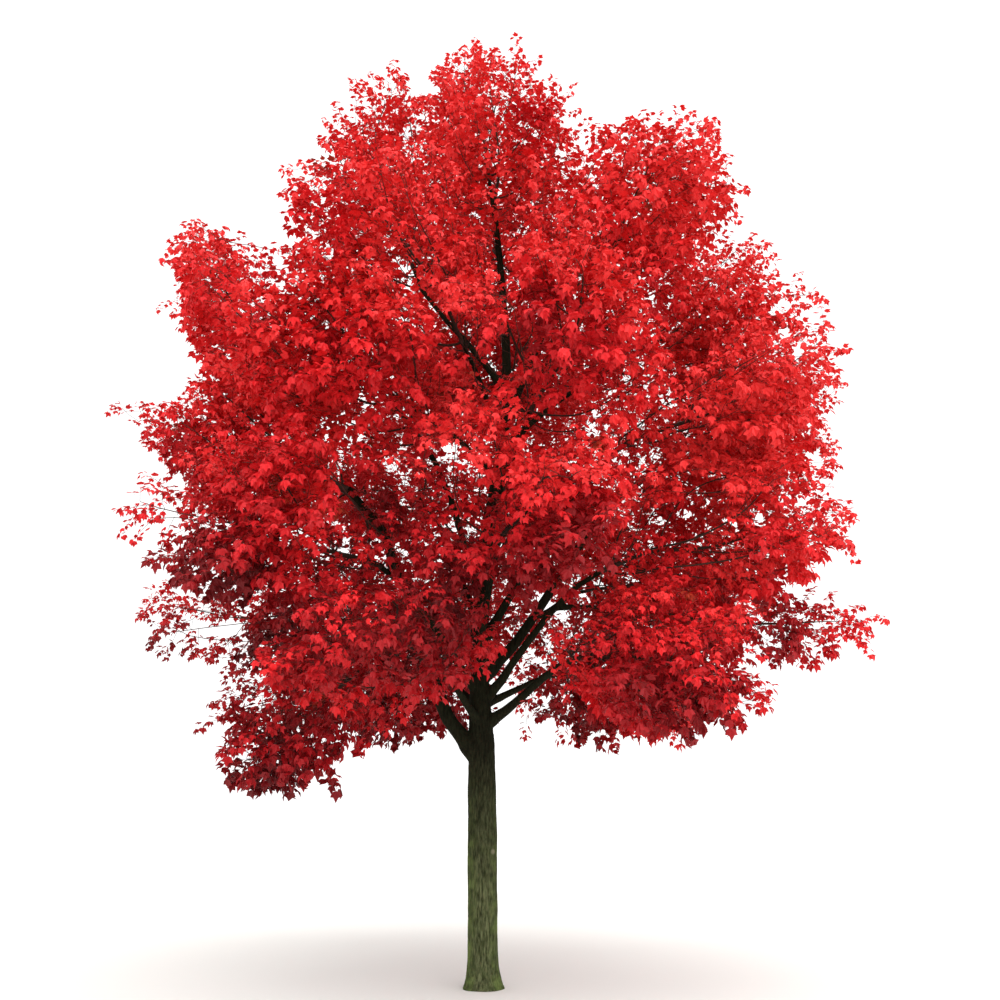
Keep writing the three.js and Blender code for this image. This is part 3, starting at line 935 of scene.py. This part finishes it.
leaf_tree, leaf_in = geometry_tree("leaves_on_twigs", {
    "Kinds": "NodeSocketCollection", "Growth": "NodeSocketFloat",
})
kinds = add(leaf_tree, "GeometryNodeCollectionInfo", {
    "Collection": leaf_in["Kinds"], "Separate Children": True, "Reset Children": True,
})
POINT_VALUES = {"width": "FLOAT", "kind": "INT", "tint": "INT", "turn": "QUATERNION"}
of_point = {
    name: add(leaf_tree, "GeometryNodeInputNamedAttribute", {"Name": name}, data_type=kind).outputs[0]
    for name, kind in POINT_VALUES.items()
}
grown = add(leaf_tree, "ShaderNodeMath", {0: of_point["width"], 1: leaf_in["Growth"]},
            operation="MULTIPLY")
placed = add(leaf_tree, "GeometryNodeInstanceOnPoints", {
    "Points": leaf_in["Geometry"], "Instance": kinds.outputs[0], "Pick Instance": True,
    "Instance Index": of_point["kind"], "Rotation": of_point["turn"], "Scale": grown.outputs[0],
})
shaped = add(leaf_tree, "GeometryNodeRealizeInstances", {"Geometry": placed.outputs[0]}).outputs[0]
for number, tint in enumerate(leaf_tints):
    chosen = add(leaf_tree, "FunctionNodeCompare", {2: of_point["tint"], 3: number},
                 data_type="INT", operation="EQUAL")
    shaped = add(leaf_tree, "GeometryNodeSetMaterial", {
        "Geometry": shaped, "Selection": chosen.outputs[0], "Material": tint,
    }).outputs[0]
add(leaf_tree, "NodeGroupOutput", {0: shaped})


def set_points(piece, name, kind, values):
    """Gives each point of a piece a value under a name."""
    values = np.asarray(values).astype(np.int32 if kind == "INT" else np.float32)
    piece.data.attributes.new(name, kind, "POINT").data.foreach_set("value", values.ravel())


def quaternions(side, along, over):
    """Unit quaternions of the turns whose axes are side, along and over."""
    m = np.stack([side, along, over], axis=2)
    parts = [
        np.sqrt(np.maximum(0, 1 + a * m[:, 0, 0] + b * m[:, 1, 1] + c * m[:, 2, 2])) / 2
        for a, b, c in ((1, 1, 1), (1, -1, -1), (-1, 1, -1), (-1, -1, 1))
    ]
    for i, (j, k) in enumerate(((2, 1), (0, 2), (1, 0)), 1):
        parts[i] = np.copysign(parts[i], m[:, j, k] - m[:, k, j])
    return np.stack(parts, axis=1)


def leaf_pairs(at, way, number):
    """Stalk directions of an opposite pair at each point, every other pair turned a quarter."""
    level = unit(np.cross(way, UP) + 1e-6)
    upright = np.cross(level, way)
    angle = number * math.pi / 2 + rng.normal(0, PAIR_SCATTER, len(at))
    sideways = level * np.cos(angle)[:, None] + PAIR_UPRIGHT * upright * np.sin(angle)[:, None]
    for sign in (1, -1):
        jitter = rng.normal(0, STALK_SCATTER, (len(at), 3))
        yield at, unit(STALK_AHEAD * way + sign * sideways + STALK_UP * UP + jitter)


def leaves_of(spray):
    """The leaves of a mass: attachment points, stalk directions and the spray each belongs to."""
    tips = spray["tips"]
    count = len(tips)
    lengths = rng.uniform(*SPRAY_LENGTH, count)
    droop = rng.uniform(*SPRAY_DROOP, count) * np.interp(tips[:, 2], *DROOP_HEIGHTS)
    outward = unit(from_axis(tips) + 1e-6)
    scatter = rng.normal(0, SPRAY_SCATTER, (count, 3))
    ways = unit(spray["tips_ways"] + SPRAY_OUTWARDS * outward + scatter)
    number = np.arange(count)
    found, path = [], [tips]
    for pair in range(1, PAIRS + 1):
        bent = unit(ways - UP * (droop * pair / PAIRS)[:, None])
        path.append(path[-1] + bent * (lengths / PAIRS)[:, None])
        found.extend((at, stalk, number) for at, stalk in leaf_pairs(path[-1], bent, pair))
    found.append((path[-1], unit(bent + rng.normal(0, LAST_SCATTER, (count, 3))), number))
    thick = TWIG_RADIUS * np.array(SHOOT_TAPER)
    shoot_runs.extend((line, thick) for line in np.stack([path[0], path[PAIRS // 2], path[-1]], axis=1))
    if len(spray["slim"]):
        to_tip = np.linalg.norm(spray["slim"][:, None] - tips[None], axis=2).argmin(axis=1)
        beside = leaf_pairs(spray["slim"], spray["slim_ways"], 0)
        found.extend((at, stalk, to_tip) for at, stalk in beside)
    return [np.concatenate(part) for part in zip(*found)]


all_tips = np.vstack([spray["tips"] for spray in sprays.values()])
canopy = point_index(all_tips)


def shade_on(tips):
    """How many more sprays than usual hang just over each tip, as a share of the usual number."""
    above = Vector((0, 0, SHADE_REACH))
    over = [len(canopy.find_range(Vector(tip) + above, SHADE_REACH)) for tip in tips]
    return np.array(over) / USUAL_SHADE - 1


box_low, box_high = (np.array(corner) for corner in cad_box)
margin = PAST_BOX * (box_high - box_low) - LONGEST_LEAF
hang_shares = [share for _, _, share in LEAF_HANGS.values()]
for name, spray in sprays.items():
    at, stalk, number = leaves_of(spray)
    kept = ((at > box_low - margin) & (at < box_high + margin)).all(axis=1)
    kept &= ~in_lane(at, LANE_WIDTH)
    at, stalk, number = at[kept], stalk[kept], number[kept]
    tips = spray["tips"]
    over = UP * FACE_UP + rng.normal(0, STALK_SCATTER, at.shape)
    over = unit(over - stalk * (over * stalk).sum(axis=1, keepdims=True))
    side = np.cross(stalk, over)
    tone_and_painted_light = TONE_PATCHES * np.array([noise.noise(Vector(p) / TONE_PATCH_SIZE) for p in tips])
    shade = shade_on(tips)
    # painted light and shade: brighter out at the crown's edge, darker under other sprays
    tone_and_painted_light += PAINTED_LIGHT_OUTWARDS * (outwardness(tips) - TONE_EDGE) - TONE_SHADED * shade
    # painted light and shade: brighter higher up and towards +X, the key light's side
    tone_and_painted_light += np.interp(tips[:, 2], *PAINTED_LIGHT_HEIGHTS) + np.interp(tips[:, 0], *PAINTED_LIGHT_SIDES)
    tone_and_painted_light += rng.normal(0, TONE_SCATTER, len(tips))
    level = np.clip(tone_and_painted_light + MIDDLE_TINT, 0, len(TINTS) - 2).astype(int)
    level[rng.random(len(tips)) < RARE_TINT_SHARE] = len(TINTS) - 1
    piece = mesh_object(name.replace("leaves", "foliage"), at, [])
    count = len(at)
    in_shade = np.clip(0.5 + shade[number], 0, 1)  # 0 under half the usual sprays, 1 under half more
    width = rng.uniform(*LEAF_WIDTH, count) * (1 + SHADE_GROWTH * in_shade)
    own_kind = rng.choice(len(LEAF_HANGS), count, p=hang_shares)
    spray_kind = rng.choice(len(LEAF_HANGS), len(tips), p=hang_shares)[number]
    kind = np.where(rng.random(count) < ALIKE_SHARE, spray_kind, own_kind)
    turn = quaternions(side, stalk, over)
    for label, values in zip(POINT_VALUES, (width, kind, level[number], turn)):
        set_points(piece, label, POINT_VALUES[label], values)
    run_tree(piece, leaf_tree, {"Kinds": leaf_kinds, "Growth": 1.0})
    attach(piece, "root")
    if name in frame["nodes"]:
        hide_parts(name)

for kind in list(leaf_kinds.objects):
    bpy.data.objects.remove(kind)
bpy.data.collections.remove(leaf_kinds)


# ---- The crown's wood ----
# The branches and twigs grown above, and the shoots that carry the leaves. Each kind is one piece
# of tubes rooted in what carries them: six-sided for branches, three-sided for the rest.

tube_tree, tube_in = geometry_tree("tubes_along_runs", {
    "Sides": "NodeSocketInt", "Thickness": "NodeSocketFloat", "Bark": "NodeSocketMaterial",
})
run_curves = add(tube_tree, "GeometryNodeMeshToCurve", {"Mesh": tube_in["Geometry"]})
radius = add(tube_tree, "GeometryNodeInputNamedAttribute", {"Name": "radius"}, data_type="FLOAT")
thickness = add(tube_tree, "ShaderNodeMath", {0: radius.outputs[0], 1: tube_in["Thickness"]},
                operation="MULTIPLY")
section = add(tube_tree, "GeometryNodeCurvePrimitiveCircle", {
    "Resolution": tube_in["Sides"], "Radius": 1.0,
})
tubes = add(tube_tree, "GeometryNodeCurveToMesh", {
    "Curve": run_curves.outputs[0], "Profile Curve": section.outputs[0],
    "Scale": thickness.outputs[0], "Fill Caps": False,
})
round_tubes = add(tube_tree, "GeometryNodeSetShadeSmooth", {"Geometry": tubes.outputs[0]})
barked = add(tube_tree, "GeometryNodeSetMaterial", {
    "Geometry": round_tubes.outputs[0], "Material": tube_in["Bark"],
})
add(tube_tree, "NodeGroupOutput", {0: barked.outputs[0]})

# Young maple bark is smooth and dark brown with a dull shine. Twigs are redder and a little waxy.
young_bark = material("young_maple_bark", "#3a2a22", 0.8, 0.2)
twig_bark = material("twig_bark", "#4a221b", 0.7, 0.25)
for name, runs, sides, finish in (
    ("branches", branch_runs, 6, young_bark),
    ("twigs", twig_runs, 3, twig_bark),
    ("shoots", shoot_runs, 3, twig_bark),
):
    corners = np.vstack([path for path, _ in runs])
    ends = set((np.cumsum([len(path) for path, _ in runs]) - 1).tolist())
    edges = [(i, i + 1) for i in range(len(corners) - 1) if i not in ends]
    piece = mesh_object(name, corners, [], edges)
    set_points(piece, "radius", "FLOAT", np.concatenate([thick for _, thick in runs]))
    run_tree(piece, tube_tree, {"Sides": sides, "Thickness": 1.0, "Bark": finish})
    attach(piece, "root")


# ---- Floor, light and camera ----
# A plain pale floor under an even white sky, with one soft key light from high on the right. The
# camera stands ten metres in front at eye height and looks up into the crown.

FLOOR_REACH = 60
SKY_STRENGTH = 1.25
KEY_STRENGTH = 2.2
KEY_WIDTH = 75  # degrees across, so its shadows are soft
KEY_TURN = (38, 18)  # degrees from straight overhead, towards the front and the right
CAMERA_PLACE = (0.15, -10.1, 1.6)
CAMERA_PITCH = 15.94  # degrees above level
CAMERA_LENS, CAMERA_SENSOR = 37.8, 36.0  # mm
CAMERA_FAR = 300.0

corners = [(x * FLOOR_REACH, y * FLOOR_REACH, 0) for x, y in ((-1, -1), (1, -1), (1, 1), (-1, 1))]
floor = mesh_object("floor", corners, [(0, 1, 2, 3)])
# A painted studio floor: pale, matt and even.
floor.data.materials.append(material("pale_floor", "#e6e5e1", 0.9, 0.1))

world = bpy.data.worlds.new("sky")
bpy.context.scene.world = world
world.use_nodes = True
sky = world.node_tree.nodes["Background"].inputs
sky["Color"].default_value = (1.0, 1.0, 1.0, 1.0)
sky["Strength"].default_value = SKY_STRENGTH

key = bpy.data.lights.new("key", "SUN")
key.energy = KEY_STRENGTH
key.angle = math.radians(KEY_WIDTH)
key_object = bpy.data.objects.new("key", key)
key_object.rotation_euler = (math.radians(KEY_TURN[0]), math.radians(KEY_TURN[1]), 0)
bpy.context.scene.collection.objects.link(key_object)

camera = bpy.data.cameras.new("camera")
camera.lens = CAMERA_LENS
camera.sensor_width = CAMERA_SENSOR
camera.clip_end = CAMERA_FAR
camera_object = bpy.data.objects.new("camera", camera)
camera_object.location = CAMERA_PLACE
camera_object.rotation_euler = (math.radians(90 + CAMERA_PITCH), 0, 0)
bpy.context.scene.collection.objects.link(camera_object)
bpy.context.scene.camera = camera_object
bpy.context.scene.view_settings.view_transform = "Standard"
